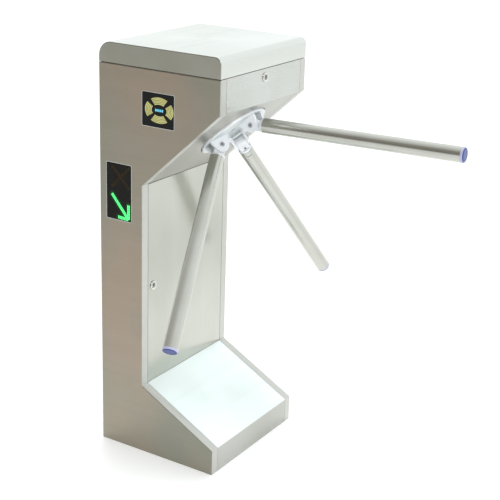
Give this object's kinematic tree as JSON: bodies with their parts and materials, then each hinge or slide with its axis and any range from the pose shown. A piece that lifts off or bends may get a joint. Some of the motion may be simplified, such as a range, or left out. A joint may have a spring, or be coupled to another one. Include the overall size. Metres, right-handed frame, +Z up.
{
  "type": "tripod turnstile",
  "caption": "Tripod turnstile pillar in folded stainless steel: a sloping front with a turning hub of three barrier arms, card reader and direction windows, hinged lid and service door.",
  "frame": {"origin": "centre of the pillar's footprint on the floor, which is the centre of the floor anchor holes", "axes": "+X from the pillar towards the passage that the arms bar, +Y the way a visitor walks from the reader side, +Z up"},
  "size_m": [0.805, 0.756, 0.98],
  "materials": {
    "side_plates": "brushed, satin, warm grey",
    "front_panels": "brushed, satin",
    "door": "brushed, satin",
    "slope_cover": "fine brushed, bright",
    "back_panel": "brushed, satin",
    "lid": "brushed, satin",
    "base_plate": "primer grey, matt",
    "gasket": "matt",
    "reader_window": "gloss black acrylic with printed arcs",
    "sign_window": "smoked acrylic over light dots",
    "circuit_board": "green solder mask",
    "zinc_steel": "zinc plated, dull",
    "hinge_steel": "satin",
    "lock_chrome": "polished",
    "hub_casting": "cast and tumbled, satin",
    "fasteners": "polished",
    "machined_steel": "machined, oiled",
    "cast_housing": "as cast, grey",
    "solenoid_coil": "taped coil, matt",
    "sensor_plastic": "black, matt",
    "arm_root": "machined, bright",
    "arm_tube": "polished tube, satin",
    "end_cap": "blue moulded plastic"
  },
  "bodies": {
    "cabinet": {"back_panel": "back_panel", "base_plate": "base_plate", "bearing_housing": "cast_housing", "chamfer_panel": "front_panels", "control_board": "circuit_board", "damper_body": "cast_housing", "door_hinge_brackets": "zinc_steel", "fascia_panel": "front_panels", "front_bearing": "machined_steel", "index_spring": "machined_steel", "lid_hinge_fixed_leaves": "hinge_steel", "lid_hinge_pins": "hinge_steel", "lid_lock_barrel": "lock_chrome", "mechanism_brackets": "zinc_steel", "mechanism_plate": "zinc_steel", "mechanism_posts": "zinc_steel", "position_sensors": "sensor_plastic", "power_supply": "zinc_steel", "reader_boards": "circuit_board", "reader_windows": "reader_window", "rear_bearing": "machined_steel", "rear_plate": "zinc_steel", "rim_gasket": "gasket", "side_plate_far": "side_plates", "side_plate_reader": "side_plates", "sign_boards": "circuit_board", "sign_windows": "sign_window", "slope_cover": "slope_cover", "solenoids": "solenoid_coil", "toe_panel": "front_panels"},
    "lid": {"lid_shell": "lid", "lid_catch": "zinc_steel", "lid_hinge_moving_leaves": "hinge_steel"},
    "lid_lock": {"lid_lock_plug": "lock_chrome"},
    "door": {"front_door": "door", "door_lock_barrel": "lock_chrome"},
    "door_lock": {"door_lock_plug": "lock_chrome"},
    "hub": {"hub_disc": "hub_casting", "hub_screws": "fasteners", "ear_pins": "fasteners", "main_shaft": "machined_steel", "index_wheel": "machined_steel", "sensor_disc": "zinc_steel", "shaft_nut": "machined_steel"},
    "arm_1": {"arm_1_root": "arm_root", "arm_1_tube": "arm_tube", "arm_1_cap": "end_cap"},
    "arm_2": {"arm_2_root": "arm_root", "arm_2_tube": "arm_tube", "arm_2_cap": "end_cap"},
    "arm_3": {"arm_3_root": "arm_root", "arm_3_tube": "arm_tube", "arm_3_cap": "end_cap"},
    "index_lever": {"index_lever": "machined_steel"},
    "index_roller": {"index_roller": "machined_steel"},
    "entry_pawl": {"entry_pawl": "machined_steel"},
    "exit_pawl": {"exit_pawl": "machined_steel"},
    "entry_plunger": {"entry_plunger": "machined_steel"},
    "exit_plunger": {"exit_plunger": "machined_steel"}
  },
  "joints": [
    {"name": "hub_turn", "type": "hinge", "parent": "cabinet", "child": "hub", "pos_m": [0.08172, 0, 0.78133], "axis": [0.6788, 0, -0.7343], "continuous": true},
    {"name": "arm_1_drop", "type": "hinge", "parent": "hub", "child": "arm_1", "pos_m": [0.13627, 0.00384, 0.80315], "axis": [-0.0512, 0.9976, -0.0474], "range_deg": [0, 90]},
    {"name": "arm_2_drop", "type": "hinge", "parent": "hub", "child": "arm_2", "pos_m": [0.07827, -0.04943, 0.74955], "axis": [0.66, -0.4384, 0.6101], "range_deg": [0, 25]},
    {"name": "arm_3_drop", "type": "hinge", "parent": "hub", "child": "arm_3", "pos_m": [0.07339, 0.0456, 0.74503], "axis": [-0.6088, -0.5592, -0.5628], "range_deg": [0, 20]},
    {"name": "lid_open", "type": "hinge", "parent": "cabinet", "child": "lid", "pos_m": [-0.1672, 0, 0.93325], "axis": [0, -1, 0], "range_deg": [0, 105]},
    {"name": "lid_lock_turn", "type": "hinge", "parent": "cabinet", "child": "lid_lock", "pos_m": [0.1625, 0, 0.9135], "axis": [-1, 0, 0], "range_deg": [0, 90]},
    {"name": "door_open", "type": "hinge", "parent": "cabinet", "child": "door", "pos_m": [-0.0465, 0.1475, 0.416], "axis": [0, 0, 1], "range_deg": [0, 15]},
    {"name": "door_lock_turn", "type": "hinge", "parent": "door", "child": "door_lock", "pos_m": [-0.0425, -0.1335, 0.416], "axis": [-1, 0, 0], "range_deg": [0, 90]},
    {"name": "index_lever_turn", "type": "hinge", "parent": "cabinet", "child": "index_lever", "pos_m": [-0.02332, -0.0708, 0.80952], "axis": [-0.6788, 0, 0.7343], "range_deg": [0, 8.33], "stiffness_Nm_per_rad": 2, "springref_deg": 12.5, "deforming": ["index_spring"]},
    {"name": "roller_spin", "type": "hinge", "parent": "index_lever", "child": "index_roller", "pos_m": [0.01927, -0.0708, 0.84889], "axis": [0.6788, 0, -0.7343], "continuous": true},
    {"name": "entry_pawl_turn", "type": "hinge", "parent": "cabinet", "child": "entry_pawl", "pos_m": [-0.00445, 0.08563, 0.82695], "axis": [-0.6788, 0, 0.7343], "range_deg": [0, 8.33], "stiffness_Nm_per_rad": 0.5, "springref_deg": -5.73},
    {"name": "exit_pawl_turn", "type": "hinge", "parent": "cabinet", "child": "exit_pawl", "pos_m": [0.043, 0.08563, 0.87082], "axis": [0.6788, 0, -0.7343], "range_deg": [0, 8.33], "stiffness_Nm_per_rad": 0.5, "springref_deg": -5.73},
    {"name": "entry_plunger_slide", "type": "slide", "parent": "cabinet", "child": "entry_plunger", "axis": [-0.6359, 0.5, -0.5879], "range_m": [0, 0.006]},
    {"name": "exit_plunger_slide", "type": "slide", "parent": "cabinet", "child": "exit_plunger", "axis": [0.6359, 0.5, 0.5879], "range_m": [0, 0.006]}
  ],
  "couplings": [
    {"joint": "entry_plunger_slide", "follows": "entry_pawl_turn", "m_per_rad": 0.032},
    {"joint": "exit_plunger_slide", "follows": "exit_pawl_turn", "m_per_rad": 0.032}
  ]
}
